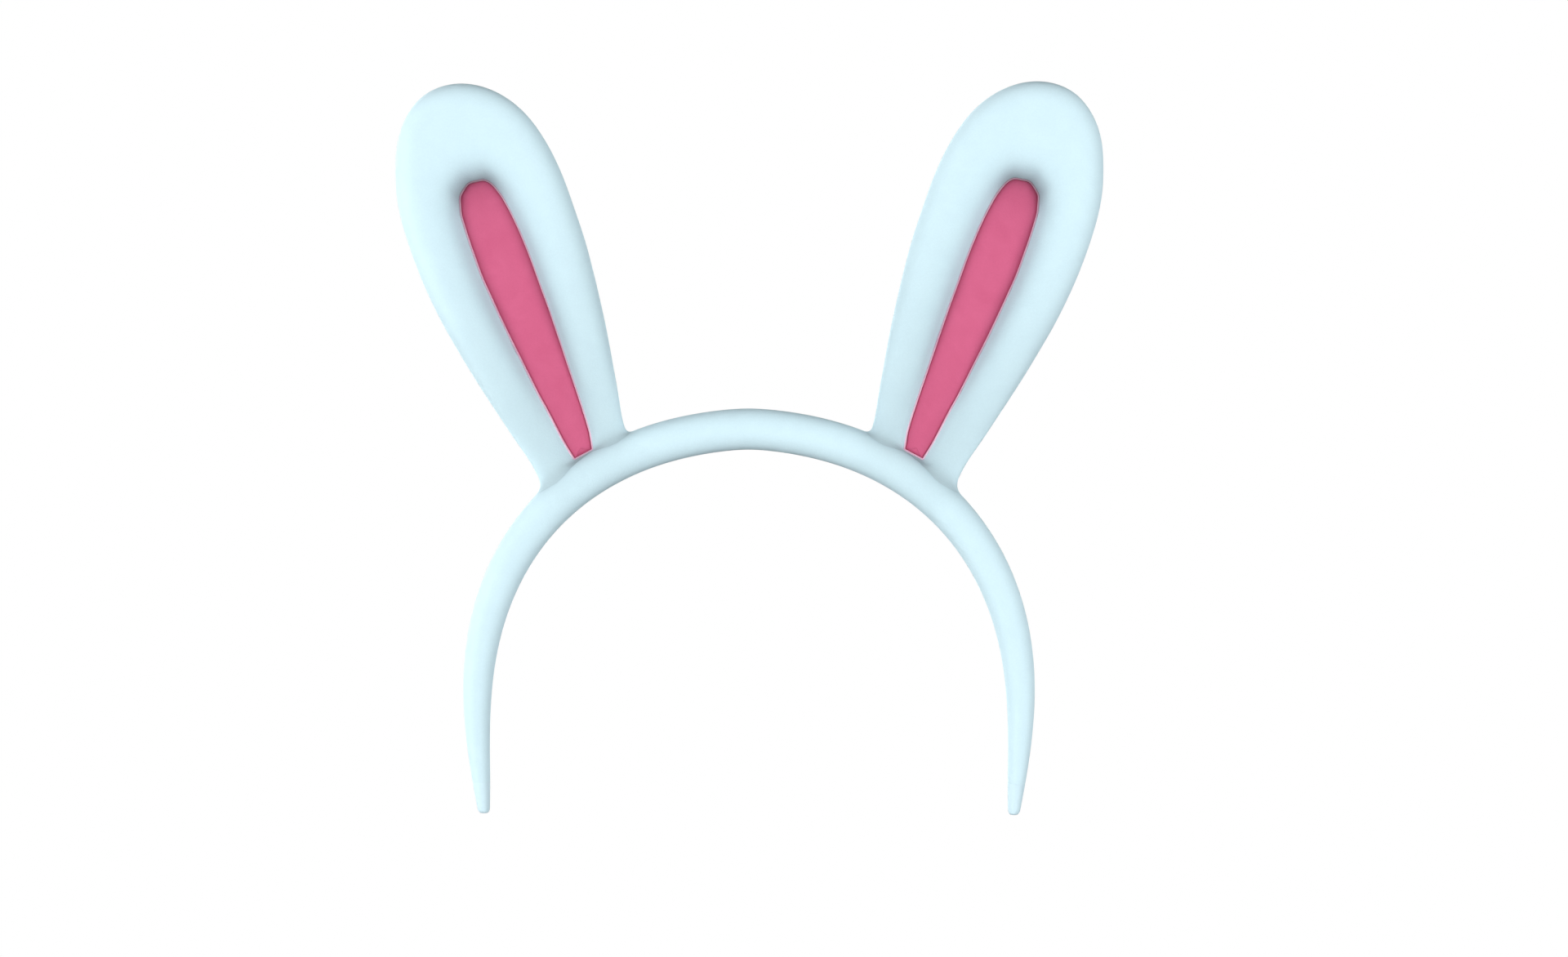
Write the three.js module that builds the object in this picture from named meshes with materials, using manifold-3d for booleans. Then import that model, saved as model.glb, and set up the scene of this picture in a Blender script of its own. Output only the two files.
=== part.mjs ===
// Padded rabbit-ears headband, built from separate pieces.
// Millimetres. +X to the right as seen from the front, +Z up, the ears' pink faces look along -Y.
// Left and right in the names are as seen from the front.
// The origin is the middle of the crown's inner surface, where the band sits on the head.
import * as THREE from "three";
import { mergeVertices } from "three/addons/utils/BufferGeometryUtils.js";
import Module from "manifold-3d";

const wasm = await Module();
wasm.setup();

// ---------------------------------------------------------------- driving dimensions

// Right half of the band's centre line, crown to tip: x, z, radial thickness, depth.
const BAND = [
  [0.0, 5.3, 10.6, 10.5],
  [7.7, 4.76, 10.62, 10.5],
  [15.31, 3.51, 10.66, 10.5],
  [22.89, 1.58, 10.66, 10.5],
  [30.25, -1.11, 10.62, 10.45],
  [37.24, -4.57, 10.55, 10.45],
  [43.75, -8.8, 10.41, 10.4],
  [49.67, -13.78, 10.23, 10.4],
  [54.91, -19.45, 9.99, 10.3],
  [59.4, -25.73, 9.71, 10.15],
  [63.1, -32.52, 9.37, 9.95],
  [65.97, -39.72, 8.97, 9.65],
  [68.03, -47.2, 8.5, 9.3],
  [69.31, -54.87, 7.95, 8.9],
  [69.9, -62.65, 7.3, 8.4],
  [69.91, -70.46, 6.52, 7.8],
  [69.49, -78.24, 5.57, 6.95],
  [68.84, -85.94, 4.42, 5.9],
  [68.17, -93.6, 2.9, 4.5],
];

// Outline of the right ear in its own mid plane, x, z. It runs up the outer side, over the top,
// down the inner side, and is closed along the band's centre line.
const EAR_OUTLINE = [
  [44.4, -9.3],
  [48.6, -12.6],
  [51.9, -10.6],
  [55.5, -4.7],
  [59.76, 1.76],
  [63.72, 7.71],
  [67.63, 13.68],
  [71.44, 19.72],
  [75.11, 25.84],
  [78.65, 32.04],
  [81.86, 38.4],
  [84.75, 44.92],
  [87.25, 51.61],
  [89.38, 58.42],
  [90.79, 65.42],
  [91.14, 72.56],
  [90.54, 79.66],
  [88.06, 86.32],
  [83.38, 91.65],
  [76.8, 94.26],
  [69.7, 93.96],
  [63.12, 91.25],
  [57.56, 86.8],
  [53.23, 81.15],
  [49.76, 74.92],
  [46.97, 68.35],
  [44.61, 61.62],
  [42.35, 54.85],
  [40.44, 47.97],
  [38.75, 41.03],
  [37.17, 34.07],
  [35.77, 27.07],
  [34.48, 20.04],
  [33.25, 13.0],
  [31.95, 6.3],
  [30.9, 0.9],
  [33.0, -2.4],
  [38.0, -5.0],
];

// Outline of the pink inner panel, x, z, in the same direction. Its short lower edge lies along the band.
const PANEL_OUTLINE = [
  [42.5, -1.15],
  [44.6, -2.2],
  [46.5, 0.2],
  [50.04, 6.66],
  [53.69, 13.35],
  [57.16, 20.2],
  [60.7, 27.16],
  [64.14, 34.27],
  [67.42, 41.47],
  [70.38, 48.87],
  [73.08, 56.73],
  [74.3, 60.84],
  [74.55, 65.3],
  [72.45, 68.7],
  [68.25, 69.9],
  [64.1, 66.1],
  [61.95, 62.31],
  [58.56, 55.17],
  [55.61, 47.72],
  [52.88, 40.15],
  [50.13, 32.37],
  [47.42, 24.4],
  [44.81, 16.72],
  [42.17, 8.79],
  [41.0, 4.8],
  [40.2, 0.4],
];

const GAP = 0.3; // clearance between touching pieces
const SLEEVE_T = 0.7; // band cover, wall
const COVER_T = 0.8; // ear covers, wall
const PANEL_T = 0.8;

const CORE_HALF_WIDTH = 2.2; // spring strip at the crown
const CORE_TIP_HALF_WIDTH = 1.3;
const CORE_HALF_THICK = 0.6;
const CORE_TIP_HALF_THICK = 0.5;

const CAP_LENGTH = 8;
const CORE_TO_TIP = 3.3; // the strip stops this far short of the tip
const ARM_HINGE_S = 72; // arc length from the crown to where the arm flexes

const EAR_FOOT = [42.4, -2.0]; // middle of the ear's foot on the band
const FRONT_CREST = { foot: 3.6, top: 5.8 }; // front height of the ear over its mid plane
const BACK_CREST = { foot: 3.6, top: 6.4 };
const CREST_IN = 6; // the crest lies this far inside the outline
const PANEL_DEPTH = { foot: -0.2, top: -0.8 }; // panel surface over the mid plane, negative when behind it
const WIRE_R = 0.7;
const WIRE_IN = 2.2; // wire centre inside the outline
const LEG = 8; // half the length of the wire's straight run in the clip
const CLIP_HALF = 5;
const BEND_AT = 0.45; // bend line, share of the way from the foot to the ear's top
const BEND_FORWARD = 71; // degrees of room at the front of the bend
const BEND_BACK = 21;

const RING = 36; // points round an ear outline
const SIDES = 12; // points round a band section

// ---------------------------------------------------------------- small helpers

const V = (x, y, z) => new THREE.Vector3(x, y, z);
const lerp = THREE.MathUtils.lerp;
const smooth = (a, b, x) => THREE.MathUtils.smoothstep(x, a, b);

// Closed body through rings of equal count, the ends closed by a ladder across each end ring.
// With loop set, the last ring joins the first instead.
function loft(rings, loop = false) {
  const n = rings[0].length;
  const pos = rings.flat().flatMap((p) => [p.x, p.y, p.z]);
  const idx = [];
  const last = loop ? rings.length : rings.length - 1;
  for (let j = 0; j < last; j++)
    for (let i = 0; i < n; i++) {
      const a = j * n + i,
        b = j * n + ((i + 1) % n);
      const k = ((j + 1) % rings.length) * n;
      const c = k + ((i + 1) % n),
        d = k + i;
      idx.push(a, b, c, a, c, d);
    }
  if (!loop)
    for (const [base, flip] of [
      [0, true],
      [(rings.length - 1) * n, false],
    ]) {
      let lo = 0,
        hi = n - 1;
      while (hi - lo >= 2) {
        const tri = [base + lo, base + lo + 1, base + hi];
        if (flip) tri.reverse();
        idx.push(...tri);
        lo++;
        if (hi - lo >= 2) {
          const tri2 = [base + lo, base + hi - 1, base + hi];
          if (flip) tri2.reverse();
          idx.push(...tri2);
        }
        hi--;
      }
    }
  const g = new THREE.BufferGeometry();
  g.setAttribute("position", new THREE.Float32BufferAttribute(pos, 3));
  g.setIndex(idx);
  return outward(g);
}

function outward(g) {
  const p = g.attributes.position,
    ix = g.index.array;
  let vol = 0;
  const a = V(),
    b = V(),
    c = V();
  for (let i = 0; i < ix.length; i += 3) {
    a.fromBufferAttribute(p, ix[i]);
    b.fromBufferAttribute(p, ix[i + 1]);
    c.fromBufferAttribute(p, ix[i + 2]);
    vol += a.dot(b.cross(c));
  }
  if (vol < 0)
    for (let i = 0; i < ix.length; i += 3)
      [ix[i + 1], ix[i + 2]] = [ix[i + 2], ix[i + 1]];
  return g;
}

function solid(geometry) {
  const g = geometry.clone();
  g.deleteAttribute("normal");
  g.deleteAttribute("uv");
  const m = mergeVertices(g, 1e-4);
  return new wasm.Manifold(
    new wasm.Mesh({
      numProp: 3,
      vertProperties: new Float32Array(m.attributes.position.array),
      triVerts: new Uint32Array(m.index.array),
    }),
  );
}

function geometryOf(manifold) {
  const m = manifold.getMesh();
  const g = new THREE.BufferGeometry();
  g.setAttribute(
    "position",
    new THREE.Float32BufferAttribute(m.vertProperties, 3),
  );
  g.setIndex(Array.from(m.triVerts));
  return g;
}

// Prism of a flat outline, its local x, y and extrusion laid along the given axes, centred on its length.
function prism(outline, length, origin, ax, ay, az) {
  const g = new THREE.ExtrudeGeometry(
    new THREE.Shape(outline.map(([x, y]) => new THREE.Vector2(x, y))),
    { depth: length, bevelEnabled: false, steps: 1 },
  );
  g.translate(0, 0, -length / 2);
  g.applyMatrix4(new THREE.Matrix4().makeBasis(ax, ay, az));
  g.translate(origin.x, origin.y, origin.z);
  return g;
}

// ---------------------------------------------------------------- band

const half = BAND.map(([x, z]) => V(x, 0, z));
const centreLine = new THREE.CatmullRomCurve3(
  [
    ...half
      .slice(1)
      .reverse()
      .map((p) => V(-p.x, 0, p.z)),
    ...half,
  ],
  false,
  "centripetal",
);
centreLine.arcLengthDivisions = 1200;
const L = centreLine.getLength() / 2;
const stationS = (() => {
  // arc length of each row of BAND
  const lens = centreLine.getLengths(1200),
    out = [];
  const m = BAND.length - 1;
  for (let k = 0; k <= m; k++) {
    const t = (m + k) / (2 * m);
    out.push(lens[Math.round(t * 1200)] - L);
  }
  return out;
})();

// Frame of the band at arc length s from the crown, negative to the left.
function at(s) {
  const u = (s + L) / (2 * L);
  const c = centreLine.getPointAt(u),
    t = centreLine.getTangentAt(u);
  const n = V(-t.z, 0, t.x); // away from the head
  const q = Math.min(Math.abs(s), L);
  let k = 0;
  while (k < BAND.length - 2 && stationS[k + 1] < q) k++;
  const f = THREE.MathUtils.clamp(
    (q - stationS[k]) / (stationS[k + 1] - stationS[k]),
    0,
    1,
  );
  return {
    c,
    t,
    n,
    a: lerp(BAND[k][2], BAND[k + 1][2], f) / 2,
    b: lerp(BAND[k][3], BAND[k + 1][3], f) / 2,
    q,
  };
}

const place = (f, y, r) => V(f.c.x + f.n.x * r, y, f.c.z + f.n.z * r);

function steps(s0, s1, pitch) {
  const n = Math.max(1, Math.round((s1 - s0) / pitch));
  return Array.from({ length: n + 1 }, (_, i) => s0 + ((s1 - s0) * i) / n);
}

const ovalRing = (f, inset, sides = SIDES) =>
  Array.from({ length: sides }, (_, i) => {
    const w = (i / sides) * 2 * Math.PI;
    return place(f, (f.b - inset) * Math.sin(w), (f.a - inset) * Math.cos(w));
  });

// The spring strip lies at the head side of the section, just inside the cover.
function core(f) {
  const k = smooth(40, L - 8, f.q);
  const hw = lerp(CORE_HALF_WIDTH, CORE_TIP_HALF_WIDTH, k);
  const ht = lerp(CORE_HALF_THICK, CORE_TIP_HALF_THICK, k);
  const wall = (f.a - SLEEVE_T) * Math.sqrt(1 - (hw / (f.b - SLEEVE_T)) ** 2);
  return { hw, ht, off: -Math.max(0, wall - GAP - 0.1 - ht) };
}

function coreRing(s, grow, down = 0) {
  const f = at(s),
    { hw, ht, off } = core(f);
  return [
    [-hw - grow, off - ht - grow - down],
    [hw + grow, off - ht - grow - down],
    [hw + grow, off + ht + grow],
    [-hw - grow, off + ht + grow],
  ].map(([y, r]) => place(f, y, r));
}

const sweep = (ss, fn) => loft(ss.map(fn));
const bandSolid = (s0, s1, pitch, inset) =>
  solid(sweep(steps(s0, s1, pitch), (s) => ovalRing(at(s), inset)));
const coreSlot = (s0, s1, pitch) =>
  solid(sweep(steps(s0, s1, pitch), (s) => coreRing(s, GAP, 4)));

const coreEnd = L - CORE_TO_TIP;
const bandCore = sweep(steps(-coreEnd, coreEnd, 5.4), (s) => coreRing(s, 0));

// Frame of the ear's foot: the tilt axis is the band's own centre line there.
const foot = (() => {
  let best = null;
  for (let s = 30; s < 55; s += 0.05) {
    const f = at(s);
    const d = Math.abs(
      (EAR_FOOT[0] - f.c.x) * f.t.x + (EAR_FOOT[1] - f.c.z) * f.t.z,
    );
    if (!best || d < best.d) best = { d, f, s };
  }
  return best;
})();
const F = foot.f;
const YY = V(0, 1, 0);
const footBox = (t, y, r0, r1) =>
  solid(
    prism(
      [
        [-y, r0],
        [y, r0],
        [y, r1],
        [-y, r1],
      ],
      2 * t,
      F.c,
      YY,
      F.n,
      F.t.clone(),
    ),
  );

// Cover tube of one half of the band, with a slit under the ear for its wire.
const capStart = L - CAP_LENGTH;
const sleeveRows = steps(0.15, capStart - GAP, 6.4);
let sleeve = solid(
  loft([
    ...sleeveRows.map((s) => ovalRing(at(s), SLEEVE_T)).reverse(),
    ...sleeveRows.map((s) => ovalRing(at(s), 0)),
  ], true),
);
sleeve = sleeve.subtract(footBox(LEG + 1.3, 1.2, 2, 7));

// Foam of the crown between the two arms' flex points, grooved for the strip and pocketed for the clips.
const PAD_IN = SLEEVE_T + GAP;
const mirrorX = (m) => {
  const g = geometryOf(m);
  g.scale(-1, 1, 1);
  return solid(outward(g));
};
const pocket = footBox(LEG + 1.3, 2.05, -3.4, 6);
let crownPadding = bandSolid(-ARM_HINGE_S + 0.7, ARM_HINGE_S - 0.7, 6.4, PAD_IN)
  .subtract(coreSlot(-ARM_HINGE_S - 2, ARM_HINGE_S + 2, 6.4))
  .subtract(pocket)
  .subtract(mirrorX(pocket));

const armPadding = bandSolid(
  ARM_HINGE_S + 0.7,
  capStart - 0.5,
  6.5,
  PAD_IN,
).subtract(coreSlot(ARM_HINGE_S - 2, capStart + 1.5, 6.5));

// Tip cap: a tapered plug with a socket for the strip's end and a small flat end face.
const capRows = [capStart, capStart + 2.5, capStart + 5, L - 1];
const level = { ...at(L), n: V(1, 0, 0) };
const tipCap = solid(
  loft([
    ...capRows.map((s) => ovalRing(at(s), 0)),
    ovalRing({ ...level, c: V(level.c.x, 0, level.c.z + 0.3) }, 0.15),
    ovalRing(level, 0.4),
  ]),
).subtract(
  solid(
    sweep(steps(capStart - 3, L - CORE_TO_TIP + 0.3, 2.5), (s) =>
      coreRing(s, GAP),
    ),
  ),
);

// ---------------------------------------------------------------- ear

const flat = (pts) => pts.map(([x, z]) => V(x, 0, z));
const outlineCurve = new THREE.CatmullRomCurve3(
  flat(EAR_OUTLINE),
  true,
  "centripetal",
);
const panelCurve = new THREE.CatmullRomCurve3(
  flat(PANEL_OUTLINE),
  true,
  "centripetal",
);
outlineCurve.arcLengthDivisions = 800;
panelCurve.arcLengthDivisions = 800;

const S = outlineCurve.getSpacedPoints(RING).slice(0, RING);
const P = (() => {
  // each outline point is paired with the panel edge nearest to it, kept in order
  const dense = panelCurve.getSpacedPoints(600).slice(0, 600);
  const raw = S.map((p, i) => {
    let best = 0,
      bd = Infinity;
    for (let k = 0; k < 600; k++) {
      const d = p.distanceToSquared(dense[k]);
      if (d < bd) {
        bd = d;
        best = k;
      }
    }
    let u = best / 600;
    const even = i / RING;
    if (u - even > 0.5) u -= 1;
    if (even - u > 0.5) u += 1;
    return u * 0.72 + even * 0.28;
  });
  return raw.map((u) => panelCurve.getPointAt(((u % 1) + 1) % 1));
})();

const APEX = V(76.0, 0, 94.4);
const FOOT = V(EAR_FOOT[0], 0, EAR_FOOT[1]);
const rise = APEX.clone().sub(FOOT);
const share = (p) =>
  THREE.MathUtils.clamp(
    p.clone().sub(FOOT).dot(rise) / rise.lengthSq(),
    0,
    1,
  );

// Profile across the rim at outline point i: distance inwards d, height h over the mid plane.
function profile(i, side) {
  const W = S[i].distanceTo(P[i]);
  const v = share(S[i]);
  const k = smooth(0, 0.45, v);
  const top = side === "front" ? FRONT_CREST : BACK_CREST;
  const H = lerp(top.foot, top.top, k);
  const dc = side === "front" ? Math.min(CREST_IN, 0.42 * W) : Math.min(10, 0.6 * W);
  const rows = [
    [0, 0],
    [dc * 0.14, H * Math.sqrt(1 - 0.86 ** 2)],
    [dc * 0.48, H * Math.sqrt(1 - 0.52 ** 2)],
    [dc, H],
  ];
  if (side === "front") {
    const hP = lerp(PANEL_DEPTH.foot, PANEL_DEPTH.top, smooth(0.05, 0.4, v));
    const wall = lerp(2, 4, smooth(0.75, 0.95, v));
    for (const u of [0.5, 0.8, 1])
      rows.push([dc + (W - dc) * u, H - (H - hP) * u ** wall]);
  } else rows.push([(dc + W) / 2, H + 0.2], [W, H + 0.35]);
  return { W, rows };
}

// The same profile moved inwards by t, square to itself.
function inset(rows, t) {
  return rows.map(([d, h], k) => {
    if (k === 0) return [d + t, h];
    if (k === rows.length - 1) return [d, h - t];
    const [d0, h0] = rows[k - 1],
      [d1, h1] = rows[k + 1];
    const l = Math.hypot(d1 - d0, h1 - h0);
    return [d + ((h1 - h0) / l) * t, h - ((d1 - d0) / l) * t];
  });
}

const inward = S.map((p, i) => P[i].clone().sub(p).normalize());
const square = S.map((_, i) => {
  const t = S[(i + 1) % RING].clone().sub(S[(i + RING - 1) % RING]).normalize();
  return V(-t.z, 0, t.x);
});
// Point d inside the outline: square to the outline at first, then turning towards the panel's edge.
const rimPoint = (i, d, y) => {
  const k = smooth(0.15, 1, d / S[i].distanceTo(P[i]));
  const dir = square[i].clone().lerp(inward[i], k);
  return V(S[i].x + dir.x * d, y, S[i].z + dir.z * d);
};
const rimRings = (side, t) => {
  const sign = side === "front" ? -1 : 1;
  const cols = S.map((_, i) => inset(profile(i, side).rows, t));
  return cols[0].map((_, k) =>
    cols.map((c, i) =>
      rimPoint(i, c[k][0], sign * (k > 1 ? c[k][1] : Math.max(c[k][1], GAP / 2))),
    ),
  );
};

// Everything of the ear stops a little off the band's surface, in a saddle round it.
const saddle = bandSolid(8, 76, 5.2, -0.4);

const frontCover = solid(
  loft(
    [...rimRings("front", 0), ...rimRings("front", COVER_T).reverse()],
    true,
  ),
).subtract(saddle);

const backCover = solid(
  loft([...rimRings("back", 0).reverse(), ...rimRings("back", COVER_T)]),
).subtract(saddle);

const panelInset = (grow, y) =>
  P.map((p, i) => {
    const v = share(S[i]);
    const hP = lerp(PANEL_DEPTH.foot, PANEL_DEPTH.top, smooth(0.05, 0.4, v));
    return V(
      p.x + inward[i].x * grow,
      -(hP - y),
      p.z + inward[i].z * grow,
    );
  });
const innerPanel = solid(
  loft([panelInset(0.35, 0.1), panelInset(0.35, 0.1 + PANEL_T)]),
).subtract(saddle);

// Wire: up from the clip, round the ear just inside its edge, and back into the clip.
const footPoint = (t, r) =>
  V(
    F.c.x + F.t.x * t + F.n.x * r,
    0,
    F.c.z + F.t.z * t + F.n.z * r,
  );
const wireLoop = (() => {
  const n = 240;
  const dense = outlineCurve.getSpacedPoints(n).slice(0, n);
  const loop = [];
  for (let i = 0; i < n; i += 6) {
    const p = dense[i],
      q = dense[(i + 1) % n],
      o = dense[(i - 1 + n) % n];
    const t = q.clone().sub(o).normalize();
    const inn = V(-t.z, 0, t.x);
    if (share(p) > 0.12) loop.push(p.clone().addScaledVector(inn, WIRE_IN));
  }
  return loop;
})();
const smoothPath = (pts) => new THREE.CatmullRomCurve3(pts, false, "centripetal");
const wirePath = smoothPath([
  footPoint(0.3, 0),
  footPoint(3, 0),
  footPoint(LEG - 1.6, 0.05),
  footPoint(LEG - 0.3, 0.9),
  footPoint(LEG + 0.1, 2.6),
  footPoint(LEG + 0.3, 5.6),
  ...wireLoop,
  footPoint(-LEG - 0.3, 5.6),
  footPoint(-LEG - 0.1, 2.6),
  footPoint(-LEG + 0.3, 0.9),
  footPoint(-LEG + 1.6, 0.05),
  footPoint(-3, 0),
  footPoint(-0.3, 0),
]);
const legPaths = [
  smoothPath([
    footPoint(LEG, 2),
    footPoint(LEG + 0.3, 5.6),
    ...wireLoop.slice(0, 3),
  ]),
  smoothPath([
    ...wireLoop.slice(-3),
    footPoint(-LEG - 0.3, 5.6),
    footPoint(-LEG, 2),
  ]),
];
const tubeAlong = (path, r, sides, n) =>
  new THREE.ExtrudeGeometry(
    new THREE.Shape(
      Array.from({ length: sides }, (_, i) => {
        const w = (i / sides) * 2 * Math.PI;
        return new THREE.Vector2(r * Math.cos(w), r * Math.sin(w));
      }),
    ),
    { steps: n, extrudePath: path, bevelEnabled: false },
  );
const earWire = tubeAlong(wirePath, WIRE_R, 6, 56);

// Foam: one pillow with the wire's groove, parted at the bend line with room to fold.
const bendAt = FOOT.clone().addScaledVector(rise, BEND_AT);
const up = rise.clone().normalize();
const bendAxis = V(up.z, 0, -up.x);
const tanF = Math.tan(THREE.MathUtils.degToRad(BEND_FORWARD / 2));
const tanB = Math.tan(THREE.MathUtils.degToRad(BEND_BACK / 2));
const wedge = (sign) =>
  solid(
    prism(
      [
        [-9, sign * (-0.4 - 9 * tanF)],
        [0, sign * -0.4],
        [9, sign * (-0.4 - 9 * tanB)],
        [9, sign * 90],
        [-9, sign * 90],
      ],
      90,
      bendAt,
      YY,
      up,
      bendAxis,
    ),
  );
const padFront = rimRings("front", COVER_T + 0.4);
const padBack = rimRings("back", COVER_T + 0.4);
const GROOVE = WIRE_R + 0.35;
const grooveFloor = WIRE_IN + WIRE_R + 0.4;
padFront[0] = S.map((_, i) => rimPoint(i, WIRE_IN - WIRE_R, -GROOVE));
padBack[0] = S.map((_, i) => rimPoint(i, WIRE_IN - WIRE_R, GROOVE));
padFront[padFront.length - 1] = panelInset(0, 0.1 + PANEL_T + 0.4);
const pillow = legPaths.reduce(
  (m, path) => m.subtract(solid(tubeAlong(path, WIRE_R + 0.4, 6, 7))),
  solid(
    loft([
      ...padFront.reverse(),
      S.map((_, i) => rimPoint(i, grooveFloor, -GROOVE)),
      S.map((_, i) => rimPoint(i, grooveFloor, GROOVE)),
      ...padBack,
    ]),
  ).subtract(bandSolid(8, 76, 5.2, -0.6)),
);
const paddingLower = pillow.subtract(wedge(1));
const paddingUpper = pillow.subtract(wedge(-1));

// Clip on the strip that holds the wire's straight run.
const clipShape = new THREE.Shape();
clipShape.moveTo(-1.7, -2.05);
clipShape.lineTo(1.7, -2.05);
clipShape.lineTo(1.7, 0);
clipShape.absarc(0, 0, 1.7, 0, Math.PI, false);
clipShape.lineTo(-1.7, -2.05);
const bore = new THREE.Path();
bore.absarc(0, 0, WIRE_R + GAP, 0, Math.PI * 2, true);
clipShape.holes.push(bore);
const wireClip = new THREE.ExtrudeGeometry(clipShape, {
  depth: 2 * CLIP_HALF,
  bevelEnabled: false,
  curveSegments: 8,
});
wireClip.translate(0, 0, -CLIP_HALF);
wireClip.applyMatrix4(
  new THREE.Matrix4().makeBasis(YY, F.n, F.t.clone()),
);
wireClip.translate(F.c.x, 0, F.c.z);

// ---------------------------------------------------------------- assembly

const ice = { color: 0xdaf5fe, roughness: 0.85, metalness: 0 };
const MATERIALS = {
  velour: new THREE.MeshStandardMaterial(ice),
  velour_cap: new THREE.MeshStandardMaterial({ ...ice, roughness: 0.6 }),
  pink: new THREE.MeshStandardMaterial({
    color: 0xe16e95,
    roughness: 0.8,
    metalness: 0,
  }),
  foam: new THREE.MeshStandardMaterial({
    color: 0xf2efe6,
    roughness: 0.95,
    metalness: 0,
  }),
  strip: new THREE.MeshStandardMaterial({
    color: 0xe8ecef,
    roughness: 0.45,
    metalness: 0,
  }),
  wire: new THREE.MeshStandardMaterial({
    color: 0x9aa0a6,
    roughness: 0.35,
    metalness: 0.9,
  }),
};

const headband = new THREE.Group();
headband.name = "rabbit_ears_headband";

// Group at a body's pivot. The pieces' geometry is moved back so that they stay where they belong.
function pivotGroup(parent, pivot, parentPivot = V(0, 0, 0)) {
  const g = new THREE.Group();
  g.position.copy(pivot).sub(parentPivot);
  parent.add(g);
  return g;
}

function add(group, pivot, name, shape, material, left) {
  const g =
    shape instanceof THREE.BufferGeometry ? shape.clone() : geometryOf(shape);
  if (left) {
    g.deleteAttribute("normal");
    g.deleteAttribute("uv");
    const m = mergeVertices(g, 1e-4);
    m.scale(-1, 1, 1);
    outward(m);
    m.translate(-pivot.x, -pivot.y, -pivot.z);
    m.computeVertexNormals();
    const mesh = new THREE.Mesh(m, material);
    mesh.name = name;
    group.add(mesh);
    return;
  }
  g.translate(-pivot.x, -pivot.y, -pivot.z);
  g.computeVertexNormals();
  const mesh = new THREE.Mesh(g, material);
  mesh.name = name;
  group.add(mesh);
}

const O = V(0, 0, 0);
add(headband, O, "band_core", bandCore, MATERIALS.strip, false);
add(headband, O, "crown_padding", crownPadding, MATERIALS.foam, false);

const hingeArm = at(ARM_HINGE_S).c;
for (const left of [false, true]) {
  const sideName = left ? "left" : "right";
  const flip = (p) => V(left ? -p.x : p.x, p.y, p.z);
  add(headband, O, `${sideName}_band_sleeve`, sleeve, MATERIALS.velour, left);
  add(headband, O, `${sideName}_wire_clip`, wireClip, MATERIALS.strip, left);

  const armPivot = flip(hingeArm);
  const arm = pivotGroup(headband, armPivot);
  add(arm, armPivot, `${sideName}_arm_padding`, armPadding, MATERIALS.foam, left);
  add(arm, armPivot, `${sideName}_tip_cap`, tipCap, MATERIALS.velour_cap, left);

  const earPivot = flip(F.c);
  const ear = pivotGroup(headband, earPivot);
  add(ear, earPivot, `${sideName}_ear_front_cover`, frontCover, MATERIALS.velour, left);
  add(ear, earPivot, `${sideName}_ear_back_cover`, backCover, MATERIALS.velour, left);
  add(ear, earPivot, `${sideName}_ear_inner_panel`, innerPanel, MATERIALS.pink, left);
  add(ear, earPivot, `${sideName}_ear_wire`, earWire, MATERIALS.wire, left);
  add(ear, earPivot, `${sideName}_ear_padding_lower`, paddingLower, MATERIALS.foam, left);

  const tipPivot = flip(bendAt);
  const tip = pivotGroup(ear, tipPivot, earPivot);
  add(tip, tipPivot, `${sideName}_ear_padding_upper`, paddingUpper, MATERIALS.foam, left);
}

export default headband;
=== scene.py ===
import bpy, bmesh, math
import numpy as np
from mathutils import Matrix, Vector
from mathutils.bvhtree import BVHTree


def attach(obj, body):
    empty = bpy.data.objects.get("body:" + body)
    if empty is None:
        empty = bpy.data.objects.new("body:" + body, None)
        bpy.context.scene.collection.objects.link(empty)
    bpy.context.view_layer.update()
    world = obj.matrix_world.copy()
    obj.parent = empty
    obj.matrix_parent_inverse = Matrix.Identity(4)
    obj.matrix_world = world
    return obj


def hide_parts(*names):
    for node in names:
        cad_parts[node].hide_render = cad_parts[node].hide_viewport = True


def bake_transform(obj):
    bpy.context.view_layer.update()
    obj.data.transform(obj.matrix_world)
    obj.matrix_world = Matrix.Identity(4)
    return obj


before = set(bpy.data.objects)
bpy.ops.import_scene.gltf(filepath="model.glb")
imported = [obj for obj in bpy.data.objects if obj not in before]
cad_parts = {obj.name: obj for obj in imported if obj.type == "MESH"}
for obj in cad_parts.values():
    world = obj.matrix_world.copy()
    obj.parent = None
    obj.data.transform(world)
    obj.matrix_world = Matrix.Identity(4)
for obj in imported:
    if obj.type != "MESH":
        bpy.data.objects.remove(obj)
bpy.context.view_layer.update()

MM = 0.001

# ---------------------------------------------------------------- measures, in millimetres

# Right half of the band's centre line, crown to tip: x, z, radial thickness, depth.
BAND = np.array([
    [0.0, 5.3, 10.6, 10.5], [7.7, 4.76, 10.62, 10.5], [15.31, 3.51, 10.66, 10.5],
    [22.89, 1.58, 10.66, 10.5], [30.25, -1.11, 10.62, 10.45], [37.24, -4.57, 10.55, 10.45],
    [43.75, -8.8, 10.41, 10.4], [49.67, -13.78, 10.23, 10.4], [54.91, -19.45, 9.99, 10.3],
    [59.4, -25.73, 9.71, 10.15], [63.1, -32.52, 9.37, 9.95], [65.97, -39.72, 8.97, 9.65],
    [68.03, -47.2, 8.5, 9.3], [69.31, -54.87, 7.95, 8.9], [69.9, -62.65, 7.3, 8.4],
    [69.91, -70.46, 6.52, 7.8], [69.49, -78.24, 5.57, 6.95], [68.84, -85.94, 4.42, 5.9],
    [68.17, -93.6, 2.9, 4.5]])

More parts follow.
